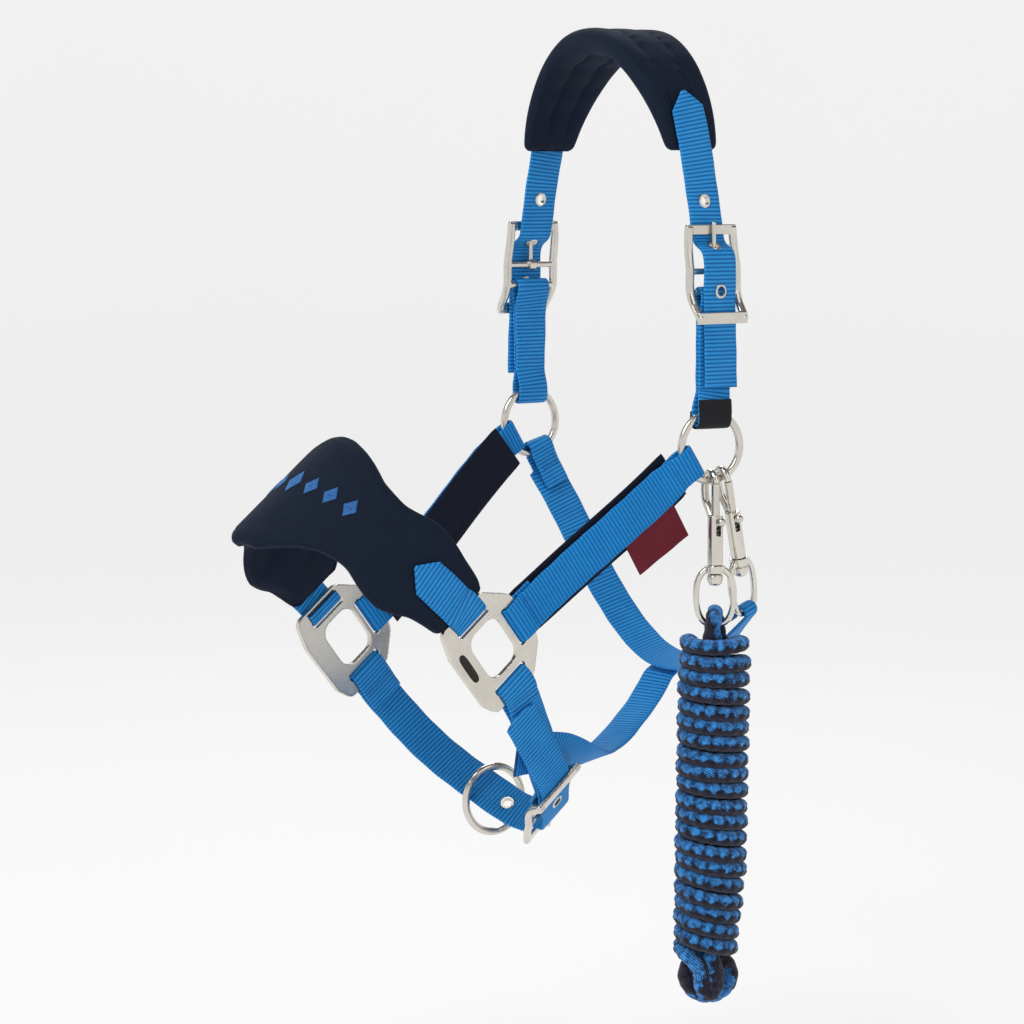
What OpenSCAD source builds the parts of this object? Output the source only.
// Horse head halter with a padded poll and nose, and a clip-on lead rope tied up in a hank.
// Millimetres. +Z is up, the horse faces -Y, +X is its near (left) side.
// The origin is the crown pad's underside at the top of the poll.

/* [Webbing] */
// Width of every flat strap
web_w = 25; // [22:0.5:26]
// Width of a strap where it folds round a ring
fold_w = 22; // [20:0.5:23]
// Thickness of one layer of webbing
web_t = 2; // [1.6:0.1:2.1]

/* [Rings] */
// Outer diameter of the round rings
ring_od = 45.8; // [45:0.1:47]
// Wire diameter of the round rings
ring_wire = 4.8; // [4.4:0.1:5]

/* [Crown pad] */
// Thickness of the crown pad at the poll
crown_pad_t = 16; // [12:1:18]
// Thickness of the crown pad at its ends
crown_end_t = 9; // [8:0.5:10]
// Depth of the crown pad, front to back, at the poll
crown_pad_w = 62; // [54:1:66]
// Depth of the crown pad at its ends
crown_end_w = 38; // [36:1:42]

/* [Nose pad] */
// Thickness of the nose pad over the bridge
nose_pad_t = 11; // [8:1:13]
// Thickness of the nose pad at its ends
nose_end_t = 8; // [6:0.5:9]

/* [Squares] */
// Thickness of the cast cheek squares
square_t = 3.5; // [3:0.1:3.6]
// Length of the slots that the straps pass through
slot_l = 26.5; // [26:0.5:27]

/* [Buckles] */
// Diameter of the bars that the straps and tongues turn on
bar_d = 4; // [3.8:0.1:4]
// Radial clearance of a tongue on its bar
tongue_clear = 0.06; // [0.02:0.01:0.1]

/* [Snap hooks] */
// Diameter of the snap hook's barrel
barrel_d = 9.4; // [9:0.1:9.6]
// How far the thumb knob pulls the bolt down
bolt_travel = 7; // [5:0.5:8]

/* [Lead rope] */
// Rope diameter
rope_d = 10; // [9:0.5:10]
// Outer diameter of the wrapped hank
hank_d = 45; // [42:1:46]
// Length of the wrapped part of the hank
hank_l = 196; // [180:2:200]

/* [Hidden] */
$fn = 48;

gap = 0.3;
web_blue = [0.13, 0.42, 0.78];
pad_navy = [0.09, 0.10, 0.17];
nickel = [0.78, 0.75, 0.70];
burgundy = [0.42, 0.12, 0.18];
black_tape = [0.06, 0.06, 0.07];
rope_blue = [0.12, 0.32, 0.62];

wire_r = ring_wire / 2;
ring_r = (ring_od - ring_wire) / 2;
bar_r = bar_d / 2;
near = 1;
far = -1;

// Where the hardware hangs: one row for the near side, one for the far side
near_ring_c = [92, -2, -239];
far_ring_c = [-92, 4, -235];
near_ring_yaw = -10;
far_ring_yaw = -2;
near_square_c = [74, -155, -350];
far_square_c = [-74, -155, -360];
buckle_x = 89;
buckle_y = 2;
buckle_z = -133;
chin_ring_c = [-18, -83, -462.3];
chin_ring_yaw = -5;

// The noseband's plane leans by this angle; its frame has x across, y forward along the
// nose and z down towards the chin
nose_lean = 38;
nose_u = [0, cos(nose_lean), sin(nose_lean)];
nose_v = [0, -sin(nose_lean), cos(nose_lean)];

// ---- vector helpers -------------------------------------------------------------------
function unit(v) = v / norm(v);
function lerp(a, b, t) = a + (b - a) * t;
function last(list) = list[len(list) - 1];
function clamp_i(i, n) = max(0, min(n, i));
function spline_point(a, b, c, d, t) =
    0.5 * (2 * b + (c - a) * t + (2 * a - 5 * b + 4 * c - d) * t * t
        + (3 * b - a - 3 * c + d) * t * t * t);
// A smooth line through the points, with n steps between two of them
function smooth(points, n) = [
    for (i = [0 : len(points) - 2])
        for (k = [0 : n - 1])
            spline_point(
                points[clamp_i(i - 1, len(points) - 1)], points[i], points[i + 1],
                points[clamp_i(i + 2, len(points) - 1)], k / n),
    last(points)
];
function tangent(path, i) =
    unit(path[clamp_i(i + 1, len(path) - 1)] - path[clamp_i(i - 1, len(path) - 1)]);
// Half turn from direction p through q to -p, about centre c
function half_turn(c, p, q, r, n) = [
    for (k = [0 : n]) c + r * (cos(180 * k / n) * p + sin(180 * k / n) * q)
];
// The same with a straight leg at each end, so that a strap clears what it is folded round
function fold(c, p, q, r, leg, n) =
    concat([c + r * p - leg * q], half_turn(c, p, q, r, n), [c - r * p - leg * q]);
function constant(v, n) = [for (i = [1 : n]) v];

// ---- swept solids ---------------------------------------------------------------------
module loft(rings, closed = false) {
    m = len(rings[0]);
    n = len(rings);
    spans = closed ? n : n - 1;
    sides = [
        for (i = [0 : spans - 1])
            for (j = [0 : m - 1])
                let (a = i * m + j, b = i * m + (j + 1) % m)
                let (c = ((i + 1) % n) * m + (j + 1) % m, d = ((i + 1) % n) * m + j)
                each [[a, c, b], [a, d, c]]
    ];
    caps = closed ? [] : [[for (j = [0 : m - 1]) j], [for (j = [m - 1 : -1 : 0]) (n - 1) * m + j]];
    polyhedron(points = [for (r = rings) each r], faces = concat(sides, caps), convexity = 8);
}

// A flat strap along a path; across gives the width direction at each point
module band(path, across, widths, t = web_t, closed = false) {
    rings = [
        for (i = [0 : len(path) - 1])
            let (dir = closed
                ? unit(path[(i + 1) % len(path)] - path[(i + len(path) - 1) % len(path)])
                : tangent(path, i))
            let (w = unit(across[i] - (across[i] * dir) * dir) * widths[i] / 2)
            let (h = unit(cross(dir, w)) * t / 2)
            [path[i] - w - h, path[i] + w - h, path[i] + w + h, path[i] - w + h]
    ];
    loft(rings, closed);
}

// A round bar of changing radius along a path that stays in the plane with this normal
module rod(path, normal, radii, sides = 12) {
    loft([
        for (i = [0 : len(path) - 1])
            let (dir = tangent(path, i))
            let (p = unit(cross(normal, dir)), q = unit(cross(dir, p)))
            [for (k = [0 : sides - 1])
                path[i] + p * radii[i][0] * cos(360 * k / sides) + q * radii[i][1] * sin(360 * k / sides)]
    ]);
}

// Outline with rounded corners: each point is [x, y, corner radius]
function corner_arc(a, b, c, n) =
    let (p = [b[0], b[1]], da = unit([a[0], a[1]] - p), dc = unit([c[0], c[1]] - p))
    let (half = acos(da * dc) / 2, mid = unit(da + dc))
    let (centre = p + mid * b[2] / sin(half))
    let (start = p + da * b[2] / tan(half) - centre, end = p + dc * b[2] / tan(half) - centre)
    let (a0 = atan2(start[1], start[0]), a1 = atan2(end[1], end[0]))
    let (turn = (a1 - a0 + 540) % 360 - 180)
    [for (k = [0 : n]) centre + b[2] * [cos(a0 + turn * k / n), sin(a0 + turn * k / n)]];
function rounded(points, n = 6) = [
    for (i = [0 : len(points) - 1])
        each corner_arc(
            points[(i + len(points) - 1) % len(points)], points[i],
            points[(i + 1) % len(points)], n)
];
module rounded_box(w, h, r) {
    polygon(rounded([[-w / 2, -h / 2, r], [w / 2, -h / 2, r], [w / 2, h / 2, r], [-w / 2, h / 2, r]]));
}

// ---- frames ---------------------------------------------------------------------------
module noseband() {
    rotate([180 + nose_lean, 0, 0]) children();
}
// A point of the noseband's frame in the part's frame
function nb(p) = [
    p[0],
    -p[1] * cos(nose_lean) + p[2] * sin(nose_lean),
    -p[1] * sin(nose_lean) - p[2] * cos(nose_lean)
];
function nb_all(points) = [for (p = points) nb(p)];

// ---- rings ----------------------------------------------------------------------------
module ring(centre, yaw) {
    color(nickel)
        translate(centre) rotate([0, 0, yaw]) rotate([0, 90, 0])
            rotate_extrude($fn = 72) translate([ring_r, 0]) circle(wire_r, $fn = 24);
}
module near_ring() {
    ring(near_ring_c, near_ring_yaw);
}
module far_ring() {
    ring(far_ring_c, far_ring_yaw);
}
module chin_ring() {
    ring(chin_ring_c, chin_ring_yaw);
}
function ring_normal(yaw) = [cos(yaw), sin(yaw), 0];
function ring_forward(yaw) = [sin(yaw), -cos(yaw), 0];

// ---- strap folds ----------------------------------------------------------------------
// Distance between a fold's centreline and the middle of what it wraps
ring_fold = wire_r + 0.4 + web_t / 2;
rim_fold = square_t / 2 + gap + web_t / 2;
bar_fold = bar_r + gap + web_t / 2;
// How far from a ring's centre the fold turns, so that the curved wire clears it
ring_fold_at = 16.6;
ring_leg = 7;
rim_leg = 8.5;

// ---- crown pad ------------------------------------------------------------------------
crown_half = 68;
crown_base = -64;
crown_rise = 64 + crown_pad_t / 2;
crown_power = 2.2;
crown_steps = 32;
function arch_x(a, half, power) = half * sign(cos(a)) * pow(abs(cos(a)), 2 / power);
function arch_z(a, base, rise, power) = base + rise * pow(abs(sin(a)), 2 / power);
function crown_mid(a) =
    [arch_x(a, crown_half, crown_power), 0, arch_z(a, crown_base, crown_rise, crown_power)];
// 0 at the pad's ends, 1 at the poll
function pad_rise(a) = pow(sin(a), 0.8);
// The pad sits a little askew, its near half forward and its far half back
crown_skew = 7;
function pad_section(mid, out, wide, w, t) =
    // a flattened oval: full in the middle, rolled at the edges
    [for (k = [0 : 15])
        let (c = cos(22.5 * k), s = sin(22.5 * k))
        mid + wide * (w / 2) * sign(c) * pow(abs(c), 0.7) + out * (t / 2) * sign(s) * pow(abs(s), 0.7)];
module crown_pad() {
    angles = [for (i = [0 : crown_steps]) 3 + 174 * i / crown_steps];
    mids = [for (a = angles) crown_mid(a)];
    color(pad_navy)
        loft([
            for (i = [0 : crown_steps])
                let (dir = tangent(mids, i), out = unit(cross([0, 1, 0], dir)))
                let (k = pad_rise(angles[i]))
                pad_section(mids[i] + [0, 1 - crown_skew * sin(2 * angles[i]), 0], -out, [0, 1, 0],
                    lerp(crown_end_w, crown_pad_w, k), lerp(crown_end_t, crown_pad_t, k))
        ]);
}

// ---- crown straps and buckles ---------------------------------------------------------
// The strap's way through a buckle, as [outward, up] from the tongue bar
crown_strap_line = [
    [-19.4, 108.5], [-16.9, 97], [-15, 84], [-13.7, 71], [-11.6, 53], [-9, 39], [-7.2, 30],
    [-5.7, 23], [-4.6, 18.3], [-3.6, 16.9], [0.05, 14.6], [3.7, 12.3], [5.2, 9], [5.8, 4], [5.9, 0],
    [5.9, -14], [6, -31], [7.1, -50], [7.4, -70]
];
crown_tip_w = 12;
eyelet_hole = 6.6;
eyelet_od = 8.8;
eyelet_bore = 6;
// Where the eyelets sit: [outward, up, lean from the strap's own plane]
crown_eyelets = [[-9.55, 42, 9], [0.05, 14.6, 57], [5.9, -12, 0]];

module at_buckle(side) {
    translate([side * buckle_x, buckle_y, buckle_z]) rotate([0, 0, side > 0 ? 0 : 180]) children();
}
module eyelet_hole_at(e) {
    translate([e[0], 0, e[1]]) rotate([0, 90 - e[2], 0]) cylinder(d = eyelet_hole, h = 12, center = true);
}
module eyelet_at(e) {
    translate([e[0], 0, e[1]]) rotate([0, 90 - e[2], 0])
        rotate_extrude()
            polygon([
                [eyelet_bore / 2, -1.5], [eyelet_od / 2 - 0.4, -1.5], [eyelet_od / 2, -1.2],
                [eyelet_hole / 2 - 0.05, -1.2], [eyelet_hole / 2 - 0.05, 1.2],
                [eyelet_od / 2, 1.2], [eyelet_od / 2 - 0.4, 1.5], [eyelet_bore / 2, 1.5]
            ]);
}
// The upper end follows the pad
function strap_sweep(up) = up < 46 ? 0 : -8.5 * pow((up - 46) / 62, 1.4);
module crown_strap(side) {
    path = smooth([for (p = crown_strap_line) [p[0], strap_sweep(p[1]), p[1]]], 3);
    n = len(path);
    color(web_blue)
        at_buckle(side) difference() {
            band(path, constant([0, 1, 0], n),
                [for (i = [0 : n - 1]) i == 0 ? crown_tip_w : web_w]);
            for (e = crown_eyelets) eyelet_hole_at(e);
        }
}
module near_crown_strap() {
    crown_strap(near);
}
module far_crown_strap() {
    crown_strap(far);
}
module crown_eyelet_set(side) {
    color(nickel) at_buckle(side) for (e = crown_eyelets) eyelet_at(e);
}
module near_eyelets() {
    crown_eyelet_set(near);
}
module far_eyelets() {
    crown_eyelet_set(far);
}

// Four-bar halter buckle. Local z runs up to the end bar, x is outward, and the origin is
// on the tongue bar.
rail_line = [
    [-2.7, 26.5], [-2.6, 20], [-1.6, 11], [0, 2], [0, -6], [0.4, -13], [3.2, -20],
    [7.2, -25.5], [8.7, -29]
];
rail_y = 17.3;
rail_bow = 1.4;
strap_bar_z = -13;
end_bar_z = 25;
keeper_z = -28;
keeper_x = 7.5;
module buckle_frame() {
    path = smooth([for (p = rail_line) [p[0], 0, p[1]]], 2);
    n = len(path);
    for (s = [-1, 1])
        rod([for (i = [0 : n - 1]) path[i] + [0, s * (rail_y + rail_bow * sin(180 * i / (n - 1))), 0]],
            [0, 1, 0], [for (i = [0 : n - 1]) [2.2, 3]]);
    for (z = [0, strap_bar_z])
        translate([0, 0, z]) rotate([90, 0, 0]) cylinder(r = bar_r, h = 2 * rail_y, center = true);
    translate([-2.7, 0, end_bar_z]) cube([2.2, 2 * rail_y + 4, 6], center = true);
    translate([keeper_x + 1.2, 0, keeper_z]) cube([2.4, 2 * rail_y + 4, 7], center = true);
}
// The tongue turns on its bar and rests on the end bar
tongue_r = 1.4;
tongue_hub_r = 3.7;
tongue_tip = 28.5;
module buckle_tongue() {
    difference() {
        union() {
            rotate([90, 0, 0]) cylinder(r = tongue_hub_r, h = 5, center = true);
            translate([0, 0, 2]) cylinder(r = tongue_r, h = tongue_tip - 2, $fn = 24);
            translate([0, 0, tongue_tip]) sphere(r = tongue_r, $fn = 24);
        }
        rotate([90, 0, 0]) cylinder(r = bar_r + tongue_clear, h = 8, center = true);
    }
}
module near_buckle_frame() {
    color(nickel) at_buckle(near) buckle_frame();
}
module far_buckle_frame() {
    color(nickel) at_buckle(far) buckle_frame();
}
module near_buckle_tongue() {
    color(nickel) at_buckle(near) buckle_tongue();
}
module far_buckle_tongue() {
    color(nickel) at_buckle(far) buckle_tongue();
}

// ---- upper cheek straps ---------------------------------------------------------------
// A doubled strap: one fold round the buckle's strap bar, the other round the ring
module cheek_strap(side, ring_c, yaw) {
    ny = ring_normal(yaw);
    out = [side, 0, 0];
    bar = [side * buckle_x, buckle_y, buckle_z + strap_bar_z];
    low = ring_c + [0, 0, ring_fold_at];
    up = [0, 0, 1];
    mid_x = side * (buckle_x + 2.3);
    inner = 1.1;
    top = fold(bar, out, up, bar_fold, 3, 8);
    bottom = fold(low, -side * ny, -up, ring_fold, ring_leg, 8);
    turn_across = [-sin(yaw), cos(yaw), 0];
    mid_y = (buckle_y + ring_c[1]) / 2;
    down_in = [[mid_x - side * inner, mid_y, bar[2] - 15], [mid_x - side * inner, mid_y, low[2] + 17]];
    up_out = [[mid_x + side * inner, mid_y, low[2] + 17], [mid_x + side * inner, mid_y, bar[2] - 15]];
    path = concat(top, down_in, bottom, up_out);
    flat = [0, 1, 0];
    n = len(top);
    color(web_blue)
        band(path,
            concat(constant(flat, n + 1), constant(turn_across, n + 2), constant(flat, 1)),
            concat(constant(web_w, n + 1), constant(fold_w, n + 2), constant(web_w, 1)),
            closed = true);
}
module near_cheek_strap() {
    cheek_strap(near, near_ring_c, near_ring_yaw);
}
module far_cheek_strap() {
    cheek_strap(far, far_ring_c, far_ring_yaw);
}
// Blank size tape folded round the near strap where it turns at the ring
label_t = 0.6;
label_w = 23;
label_top = 12.5;
module size_label() {
    yaw = near_ring_yaw;
    out = ring_normal(yaw);
    low = near_ring_c + [0, 0, ring_fold_at];
    r = ring_fold + web_t / 2 + gap + label_t / 2;
    turn = fold(low, out, [0, 0, -1], r, 5, 8);
    path = concat([low + out * (r - 0.6) + [0, 0, label_top]], turn);
    n = len(path);
    color(black_tape)
        band(path, constant([-sin(yaw), cos(yaw), 0], n), constant(label_w, n), t = label_t);
}

// ---- cheek squares --------------------------------------------------------------------
// Local x runs up the cheekpiece, local y runs up the noseband
square_outline = [
    [-27, -22, 4], [-28, 15, 5], [-23.5, 32.5, 6], [13, 32.5, 8], [29, 17, 13],
    [29, -17, 13], [13, -32.5, 8], [-22, -32.5, 6]
];
slot_w = 4.5;
nose_slot_at = 22.25;
cheek_slot_at = 18.25;
slot_mid = -2;
module square_plate() {
    linear_extrude(square_t, center = true)
        difference() {
            polygon(rounded(square_outline));
            rounded_box(26, 32, 8);
            for (s = [-1, 1]) translate([slot_mid, s * nose_slot_at]) rounded_box(slot_l, slot_w, 1.8);
            translate([cheek_slot_at, 0]) rounded_box(slot_w, slot_l, 1.8);
        }
}
module at_square(c) {
    // plate face towards +X, local x along nose_u, local y along nose_v
    translate(c) rotate([nose_lean, 0, 0]) rotate([90, 0, 90]) children();
}
module near_square() {
    color(nickel) at_square(near_square_c) square_plate();
}
module far_square() {
    color(nickel) at_square(far_square_c) square_plate();
}
function on_square(c, u, v, x) = c + nose_u * u + nose_v * v + [x, 0, 0];

// ---- cheekpieces ----------------------------------------------------------------------
cheek_slope = 32;
return_l = 24;
cheek_fold_w = 20;
function cheek_ring_dir(yaw) = ring_forward(yaw) * cos(cheek_slope) - [0, 0, sin(cheek_slope)];
// Middle line from the square to the ring
function cheek_line(side, ring_c, yaw, square_c) =
    let (a = on_square(square_c, 31, 0, 0), b = ring_c + cheek_ring_dir(yaw) * 27)
    let (bow = [side * 0.8, 0, 0])
    smooth([a, lerp(a, b, 0.3) - bow, lerp(a, b, 0.7) + bow, b], 4);
module cheekpiece(side, ring_c, yaw, square_c) {
    out = ring_normal(yaw) * side;
    d = cheek_ring_dir(yaw);
    x = [side, 0, 0];
    rim = on_square(square_c, cheek_slot_at + slot_w / 2 + 0.7, 0, 0);
    at_rim = fold(rim, -x, -nose_u, rim_fold, rim_leg, 6);
    at_ring = fold(ring_c + d * ring_fold_at, out, -d, ring_fold, ring_leg, 6);
    line = cheek_line(side, ring_c, yaw, square_c);
    outer = [for (i = [2 : len(line) - 3]) line[i] + out * 1.7];
    inner_rim_end = on_square(square_c, cheek_slot_at + slot_w / 2 + return_l, 0, -side * 1.2);
    inner_ring_end = line[len(line) - 2] - out * 1.6;
    across_ring = ring_forward(yaw) * sin(cheek_slope) + [0, 0, cos(cheek_slope)];
    n = len(at_rim);
    k = len(outer);
    path = concat([inner_rim_end], at_rim, outer, at_ring, [inner_ring_end]);
    color(web_blue)
        band(path,
            concat(constant(nose_v, n + 1),
                [for (i = [1 : k]) lerp(nose_v, across_ring, i / (k + 1))],
                constant(across_ring, n + 1)),
            concat(constant(web_w, n + 1 + k), constant(cheek_fold_w, n + 1)));
}
module near_cheekpiece() {
    cheekpiece(near, near_ring_c, near_ring_yaw, near_square_c);
}
module far_cheekpiece() {
    cheekpiece(far, far_ring_c, far_ring_yaw, far_square_c);
}
// Padded lining on the inner face of the cheekpiece
lining_w = 30;
lining_t = 4;
lining_gap = 5.5;
module cheek_lining(side, ring_c, yaw, square_c) {
    out = ring_normal(yaw) * side;
    line = cheek_line(side, ring_c, yaw, square_c);
    n = len(line);
    path = [for (i = [0 : n - 1]) line[i] - out * (lining_gap + 1.5 * pow(2 * i / (n - 1) - 1, 4))];
    across_ring = ring_forward(yaw) * sin(cheek_slope) + [0, 0, cos(cheek_slope)];
    color(pad_navy)
        loft([
            for (i = [0 : n - 1])
                let (dir = tangent(path, i), flat = lerp(nose_v, across_ring, i / (n - 1)))
                let (w = unit(flat - (flat * dir) * dir), h = unit(cross(dir, w)))
                pad_section(path[i], h, w, lining_w, lining_t)
        ]);
}
module near_cheek_lining() {
    cheek_lining(near, near_ring_c, near_ring_yaw, near_square_c);
}
module far_cheek_lining() {
    cheek_lining(far, far_ring_c, far_ring_yaw, far_square_c);
}
// Blank woven tab sewn under the near cheekpiece's lower edge
side_label_w = 26;
module side_label() {
    path = [on_square(near_square_c, 107, -25, 7.3), on_square(near_square_c, 148, -29, 11.4)];
    color(burgundy)
        band(path, constant(nose_v, 2), constant(side_label_w, 2), t = 0.8);
}

// ---- nose pad -------------------------------------------------------------------------
// Across an arch in the noseband's plane; half outline as [distance along, upper, lower]
nose_half = 71;
nose_base = -152;
nose_rise = 98;
nose_power = 2;
nose_steps = 40;
nose_outline = [
    [0, 306, 397.5], [10, 307.5, 398.5], [24, 311.5, 390], [34, 315, 383.5], [45, 319.5, 378.5],
    [55, 321.2, 376.3], [63, 321.8, 376], [71, 319.6, 379], [80, 316, 381.2], [90, 315.2, 381.5],
    [99, 316.4, 377.3], [108, 318.4, 371.3], [117, 319.8, 365.3], [123, 322, 360.5],
    [127.5, 326, 355], [129.3, 331, 350]
];
function nose_mid(a) = nb([
    arch_x(a, nose_half, nose_power), 0, -arch_z(a, nose_base, nose_rise, nose_power)
]);
function cumulative(path, i = 0, sum = 0) =
    i == len(path) - 1 ? [sum]
        : concat([sum], cumulative(path, i + 1, sum + norm(path[i + 1] - path[i])));
module nose_pad() {
    angles = [for (i = [0 : nose_steps]) 2.5 + 175 * i / nose_steps];
    mids = [for (a = angles) nose_mid(a)];
    run = cumulative(mids);
    half = last(run) / 2;
    stretch = last(nose_outline)[0] / half;
    color(pad_navy)
        loft([
            for (i = [0 : nose_steps])
                let (dir = tangent(mids, i), out = unit(cross([0, cos(nose_lean), sin(nose_lean)], dir)))
                let (s = abs(run[i] - half) * stretch)
                let (top = lookup(s, [for (o = nose_outline) [o[0], o[1]]]))
                let (low = lookup(s, [for (o = nose_outline) [o[0], o[2]]]))
                pad_section(mids[i] + nb([0, (top + low) / 2, 0]), out, nb([0, 1, 0]),
                    low - top, lerp(nose_pad_t, nose_end_t, s / last(nose_outline)[0]))
        ]);
}

// ---- nose tabs ------------------------------------------------------------------------
// From a fold through the square's slot up onto the pad's outer face
tab_lift = nose_end_t / 2 + gap + 1 + web_t / 2;
tab_angles = [5, 10, 15, 20, 25.5];
tab_tip_w = 10;
module nose_tab(side, square_c, w_at) {
    x = [side, 0, 0];
    rim = on_square(square_c, slot_mid, nose_slot_at + slot_w / 2 + 0.7, 0);
    at_rim = half_turn(rim, -x, -nose_v, rim_fold, 6);
    on_pad = [
        for (a = tab_angles)
            let (p = nb([side * arch_x(a, nose_half, nose_power), w_at,
                -arch_z(a, nose_base, nose_rise, nose_power)]))
            let (q = nb([side * arch_x(a + 1, nose_half, nose_power), w_at,
                -arch_z(a + 1, nose_base, nose_rise, nose_power)]))
            p - tab_lift * side * unit(cross([0, cos(nose_lean), sin(nose_lean)], p - q))
    ];
    inner_end = rim - x * rim_fold + nose_v * 5;
    clear_rim = rim + x * rim_fold + nose_v * 9;
    path = concat([inner_end], at_rim, [clear_rim], on_pad);
    n = len(path);
    color(web_blue)
        band(path, constant(nb([0, 1, 0]), n), [for (i = [0 : n - 1]) i == n - 1 ? tab_tip_w : web_w]);
}
module near_nose_tab() {
    nose_tab(near, near_square_c, 345);
}
module far_nose_tab() {
    nose_tab(far, far_square_c, 345);
}

// ---- chin straps ----------------------------------------------------------------------
// In the noseband's frame: x across, y forward along the nose, z down towards the chin
chin_w_at = 350;
chin_bar = [44, chin_w_at, 303];
chin_lean = -36.87;
chin_out = [0.8, 0, 0.6];
chin_up = [-0.6, 0, 0.8];
chin_eyelet_list = [[5.9, -9, 0], [0.05, 14.6, 57]];
module at_chin_buckle() {
    noseband() translate(chin_bar) rotate([0, chin_lean, 0]) children();
}
function chin_at(out, up) = chin_bar + chin_out * out + chin_up * up;
module chin_buckle_frame() {
    color(nickel) at_chin_buckle() buckle_frame();
}
module chin_buckle_tongue() {
    color(nickel) at_chin_buckle() buckle_tongue();
}
function square_nb(c, v) =
    let (p = on_square(c, slot_mid, v, 0))
    [p[0], -p[1] * cos(nose_lean) - p[2] * sin(nose_lean), p[1] * sin(nose_lean) - p[2] * cos(nose_lean)];
// Short doubled strap from the near square to the chin buckle's strap bar
module near_chin_strap() {
    rim = square_nb(near_square_c, -nose_slot_at - slot_w / 2 - 0.7);
    x = [1, 0, 0];
    z = [0, 0, 1];
    top = fold(rim, -x, -z, rim_fold, rim_leg, 6);
    bar = chin_at(0, strap_bar_z);
    low = fold(bar, chin_out, chin_up, bar_fold, 3, 6);
    mid_out = chin_at(2.1, strap_bar_z - 13);
    mid_in = chin_at(-0.3, strap_bar_z - 13);
    high_out = [rim[0] + 1.2, rim[1], rim[2] + 20];
    high_in = [rim[0] - 1.2, rim[1], rim[2] + 20];
    path = concat(top, [high_out, mid_out], low, [mid_in, high_in]);
    color(web_blue)
        noseband() band(path, constant([0, 1, 0], len(path)), constant(web_w, len(path)), closed = true);
}
// Long strap: from the far square under the chin, through the ring and the buckle, its end
// lying on the near strap
module chin_adjust_strap() {
    rim = square_nb(far_square_c, -nose_slot_at - slot_w / 2 - 0.7);
    x = [1, 0, 0];
    z = [0, 0, 1];
    inner_end = rim + x * rim_fold + z * return_l;
    top = fold(rim, x, -z, rim_fold, rim_leg, 6);
    under = smooth([
        rim - x * 2.6 + z * 14, [-74.5, 345, 244], [-67, 346, 262], [-50, 348, 283], [-22, 350, 302],
        [0, 351, 315], [12, chin_w_at, 320.5], chin_at(-7.2, 29)
    ], 3);
    through = smooth([
        for (p = [[-5.7, 23], [-4.6, 18.3], [-3.6, 16.9], [0.05, 14.6], [3.7, 12.3], [5.2, 9],
                [5.8, 4], [5.9, 0], [5.9, -14], [6, -31]])
            chin_at(p[0], p[1])
    ], 2);
    tip = smooth([
        chin_at(6, -31), [70.6, chin_w_at, 274], [73, chin_w_at, 262], [75.2, chin_w_at, 248],
        [77.2, chin_w_at, 232], [78.2, chin_w_at, 222]
    ], 2);
    path = concat([inner_end], top, under, through, [for (i = [1 : len(tip) - 1]) tip[i]]);
    color(web_blue)
        difference() {
            noseband() band(path, constant([0, 1, 0], len(path)), constant(web_w, len(path)));
            at_chin_buckle() for (e = chin_eyelet_list) eyelet_hole_at(e);
            far_chin_eyelet() cylinder(d = eyelet_hole, h = 12, center = true);
        }
}
// The eyelet between the ring and the buckle
module far_chin_eyelet() {
    noseband() translate([-3.2, 350.93, 313.22]) rotate([0, -29.2, 0]) children();
}
module chin_eyelets() {
    color(nickel) {
        at_chin_buckle() for (e = chin_eyelet_list) eyelet_at(e);
        far_chin_eyelet() rotate([0, -90, 0]) eyelet_at([0, 0, 0]);
    }
}

// ---- jaw and throat straps ------------------------------------------------------------
throat_side = [0, 0.966, 0.26];
// Outward normal of the near chin strap where the jaw strap is sewn on
jaw_seat = nb([0.976, 0, 0.216]);
module jaw_strap() {
    path = smooth([
        [62.5, -128, -419.3], [60.6, -113.5, -419.3], [58.7, -99, -419.5], [53.2, -82, -423.2],
        [43, -62, -430.5], [29, -42, -434.5], [15, -21, -432], [6, 0, -424.5], [1, 19, -412.5],
        [-1, 32, -400], [-1.5, 38.5, -392.5], [-2, 48, -388.2]
    ], 3);
    n = len(path);
    flat = unit(cross([0.13, -0.99, -0.01], jaw_seat));
    color(web_blue)
        band(path, [for (i = [0 : n - 1])
            unit(lerp(flat, [1, 0.12, 0], max(0, min(1, (i - 5) / 14))))],
            constant(web_w, n));
}
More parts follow.
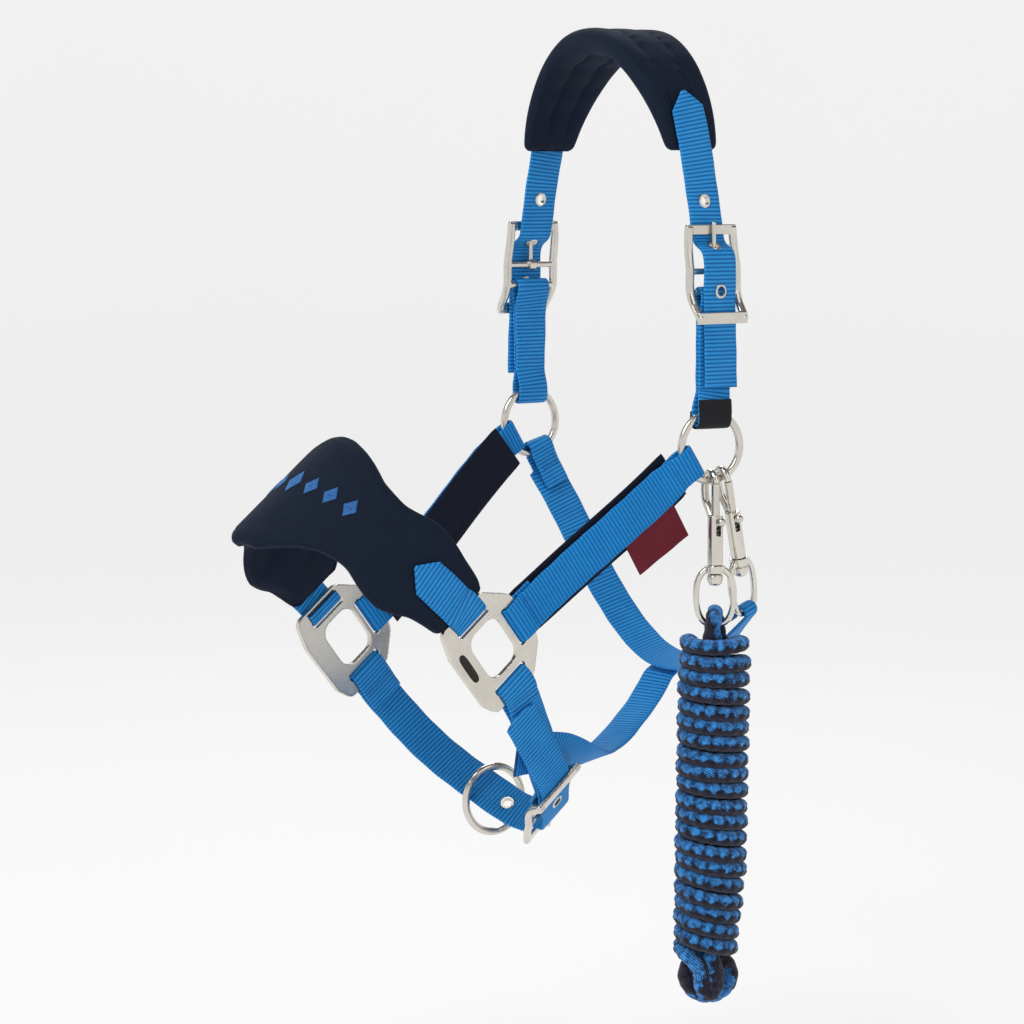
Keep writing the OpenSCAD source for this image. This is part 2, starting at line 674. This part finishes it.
// The bow of the throat snap's eye, the strap's direction there and the bow's own direction
throat_bow = [91.5, 28, -341.2];
throat_pull = [-0.821, 0, -0.571];
throat_bow_dir = [-0.18, 0.945, 0.27];
throat_end_w = 12;
throat_fold = 4.2;
throat_slope = 22;
throat_fold_w = 18;
module throat_strap() {
    d = ring_forward(far_ring_yaw) * -sin(throat_slope) - [0, 0, cos(throat_slope)];
    out = -ring_normal(far_ring_yaw);
    at_ring = fold(far_ring_c + d * ring_fold_at, -out, -d, ring_fold, ring_leg, 6);
    run = smooth([
        far_ring_c + d * 33 + out * 1.8, [-85.5, 19, -277], [-75, 27, -301], [-64, 33.5, -325],
        [-53, 38.5, -345], [-38, 43, -364], [-20, 46, -378.5], [0, 47, -384.5], [22, 46, -383.5],
        [44, 43, -376.5], [62, 38, -366], [75, 33.5, -357.5]
    ], 2);
    side = unit(cross(throat_pull, throat_bow_dir));
    at_eye = fold(throat_bow, side, -throat_pull, throat_fold, 3, 6);
    first_end = far_ring_c + d * 44 - out * 8.7;
    last_end = throat_bow + throat_pull * 15 - side * 1.6;
    path = concat([first_end], at_ring, run, at_eye, [last_end]);
    n = len(path);
    k = len(at_ring) + 1;
    j = n - len(at_eye) - 1;
    color(web_blue)
        band(path, [for (i = [0 : n - 1]) i < j - 1 ? throat_side : throat_bow_dir],
            [for (i = [0 : n - 1]) i <= k ? throat_fold_w : i < j - 1 ? web_w : i < j ? 20 : throat_end_w]);
}

// ---- bolt snaps -----------------------------------------------------------------------
// Local origin: top of the barrel, on its axis. The hook's arm is on the -x side, and the
// ring's wire sits in the hook at hook_wire.
barrel_l = 30;
bore_r = 2.6;
bore_l = 25;
bolt_r = 2.54;
neck_r = 2.8;
collar_l = 5;
stud_r = 4.8;
stud_l = 7;
hook_r = 2.3;
hook_bend = 6.3;
hook_bend_z = 19.5;
hook_wire = [-6, 0, 20.8];
knob_z = -3.5;
knob_x = 7.3;
knob_r = 2.6;
stalk_r = 1.3;
bolt_bottom = -6;
bolt_top = 19.2;
lead_snap_yaw = -10;
throat_snap_lean = [14, 8, -10];
throat_wire = near_ring_c + ring_r * (sin(25) * -ring_forward(near_ring_yaw) - [0, 0, cos(25)]);

module at_lead_snap() {
    translate(near_ring_c - [0, 0, ring_r]) rotate([0, 0, lead_snap_yaw]) translate(-hook_wire)
        children();
}
module at_throat_snap() {
    translate(throat_wire) rotate(throat_snap_lean) translate(-hook_wire) children();
}
module snap_body() {
    centre = [-6, 0, hook_bend_z];
    arm = smooth([
        [-2.6, 0, -7], [-4, 0, -1.5], [-7.4, 0, 3.2], [-11, 0, 8], [-12.2, 0, 14]
    ], 3);
    bend = [for (k = [0 : 10])
        centre + hook_bend * [-cos(18 * k), 0, sin(18 * k)]];
    path = concat(arm, bend);
    n = len(path);
    stud_z = -barrel_l - collar_l - 0.4;
    difference() {
        union() {
            rod(path, [0, 1, 0], [for (i = [0 : n - 1]) [hook_r * lerp(0.9, 1, min(1, (n - 1 - i) / 5)),
                hook_r * lerp(0.9, 1.1, min(1, (n - 1 - i) / 5))]]);
            translate([0, 0, -barrel_l]) cylinder(d = barrel_d, h = barrel_l);
            translate([0, 0, stud_z - 1]) cylinder(r = neck_r, h = collar_l + 2);
            translate([0, 0, stud_z])
                rotate_extrude()
                    polygon([[0, -stud_l], [2.6, -stud_l], [4.2, -stud_l + 1.2], [stud_r, -stud_l + 3.2],
                        [stud_r, -1], [stud_r - 1, 0], [0, 0]]);
        }
        translate([0, 0, -bore_l]) cylinder(r = bore_r, h = bore_l + 1);
        translate([1, 0, (knob_z * 2 - bolt_travel) / 2])
            translate([3, 0, 0])
                cube([6, 2 * stalk_r + 0.6, bolt_travel + 2 * stalk_r + 0.6], center = true);
        translate([0, 0, 10]) cylinder(r = bolt_r + 0.06, h = bolt_top - 9.7);
    }
}
module snap_bolt() {
    translate([0, 0, bolt_bottom]) cylinder(r = bolt_r, h = bolt_top - bolt_bottom);
    translate([0, 0, knob_z]) rotate([0, 90, 0]) cylinder(r = stalk_r, h = knob_x);
    translate([knob_x, 0, knob_z]) sphere(r = knob_r);
}
spring_wire_r = 0.45;
spring_coil_r = 1.95;
spring_turns = 7;
module snap_spring() {
    z0 = -bore_l + spring_wire_r + 0.05;
    z1 = bolt_bottom - spring_wire_r - 0.1;
    steps = 14;
    total = spring_turns * steps;
    loft([
        for (i = [0 : total])
            let (a = 360 * i / steps, z = lerp(z0, z1, i / total))
            [for (k = [0 : 5])
                let (r = spring_coil_r + spring_wire_r * cos(60 * k))
                [r * cos(a), r * sin(a), z - spring_wire_r * sin(60 * k)]]
    ]);
}
eye_half = [
    [4.6, -32.4], [8.4, -35.6], [10.8, -41], [11.4, -49], [10.6, -57], [8.3, -62.8],
    [4.6, -65.8], [0, -66.4]
];
eye_wire_r = 2;
module snap_eye() {
    n = len(eye_half);
    half = [for (p = eye_half) [p[0], 0, p[1]]];
    path = smooth(concat(half, [for (i = [n - 2 : -1 : 0]) [-half[i][0], 0, half[i][2]]]), 2);
    difference() {
        union() {
            translate([0, 0, -barrel_l - collar_l])
                cylinder(r = 5.9, h = collar_l - 0.2);
            rod(path, [0, 1, 0], constant([eye_wire_r, eye_wire_r], len(path)));
        }
        translate([0, 0, -barrel_l - collar_l - 1]) cylinder(r = neck_r + 0.06, h = collar_l + 2);
        translate([0, 0, -barrel_l - collar_l - 8]) cylinder(r = stud_r + 0.3, h = 8);
        translate([0, 0, -barrel_l - 0.2]) cylinder(r = 9, h = 4);
    }
}
module throat_snap_body() {
    color(nickel) at_throat_snap() snap_body();
}
module throat_snap_bolt() {
    color(nickel) at_throat_snap() snap_bolt();
}
module throat_snap_spring() {
    color("silver") at_throat_snap() snap_spring();
}
throat_eye_turn = 112;
module throat_snap_eye() {
    color(nickel) at_throat_snap() rotate([0, 0, throat_eye_turn]) snap_eye();
}
module lead_snap_body() {
    color(nickel) at_lead_snap() snap_body();
}
module lead_snap_bolt() {
    color(nickel) at_lead_snap() snap_bolt();
}
module lead_snap_spring() {
    color("silver") at_lead_snap() snap_spring();
}
lead_eye_turn = 62;
module lead_snap_eye() {
    color(nickel) at_lead_snap() rotate([0, 0, lead_eye_turn]) snap_eye();
}

// ---- lead rope ------------------------------------------------------------------------
bight_r = 7.4;
bight_leg = 11;
hank_lean = 0.7;
knob_end_r = 17;
knob_end_l = 27;
rope_turn = lead_snap_yaw + lead_eye_turn;
// Local frame of the rope: origin on the eye's bow, x along the bow
module at_rope() {
    at_lead_snap() rotate([0, 0, lead_eye_turn]) translate([0, 0, -66.4]) children();
}
module rope_bight() {
    path = concat([[0, -bight_r, -bight_leg]],
        [for (k = [0 : 8]) bight_r * [0, -cos(22.5 * k), sin(22.5 * k)]], [[0, bight_r, -bight_leg]]);
    color(rope_blue)
        at_rope() rod(path, [1, 0, 0], constant([rope_d / 2, rope_d / 2], len(path)));
}
module rope_hank() {
    r = hank_d / 2;
    round_r = 5;
    color(rope_blue)
        at_rope() translate([0, 0, -bight_leg - 1]) rotate([0, hank_lean, 0])
            rotate_extrude()
                polygon(concat(
                    [[0, 0], [r - round_r, 0]],
                    [for (k = [1 : 6]) [r - round_r + round_r * sin(15 * k), -round_r + round_r * cos(15 * k)]],
                    [for (k = [0 : 6])
                        [r - round_r + round_r * cos(15 * k), -hank_l + round_r - round_r * sin(15 * k)]],
                    [for (k = [0 : 6])
                        [knob_end_r - 8 + 8 * cos(15 * k),
                            -hank_l - knob_end_l + 8 - 8 * sin(15 * k)]],
                    [[0, -hank_l - knob_end_l]]));
}

crown_pad();
near_crown_strap();
far_crown_strap();
near_eyelets();
far_eyelets();
near_buckle_frame();
far_buckle_frame();
near_buckle_tongue();
far_buckle_tongue();
near_cheek_strap();
far_cheek_strap();
size_label();
near_ring();
far_ring();
near_cheekpiece();
far_cheekpiece();
near_cheek_lining();
far_cheek_lining();
side_label();
near_square();
far_square();
nose_pad();
near_nose_tab();
far_nose_tab();
near_chin_strap();
chin_buckle_frame();
chin_buckle_tongue();
chin_adjust_strap();
chin_eyelets();
chin_ring();
jaw_strap();
throat_strap();
throat_snap_body();
throat_snap_bolt();
throat_snap_spring();
throat_snap_eye();
lead_snap_body();
lead_snap_bolt();
lead_snap_spring();
lead_snap_eye();
rope_bight();
rope_hank();
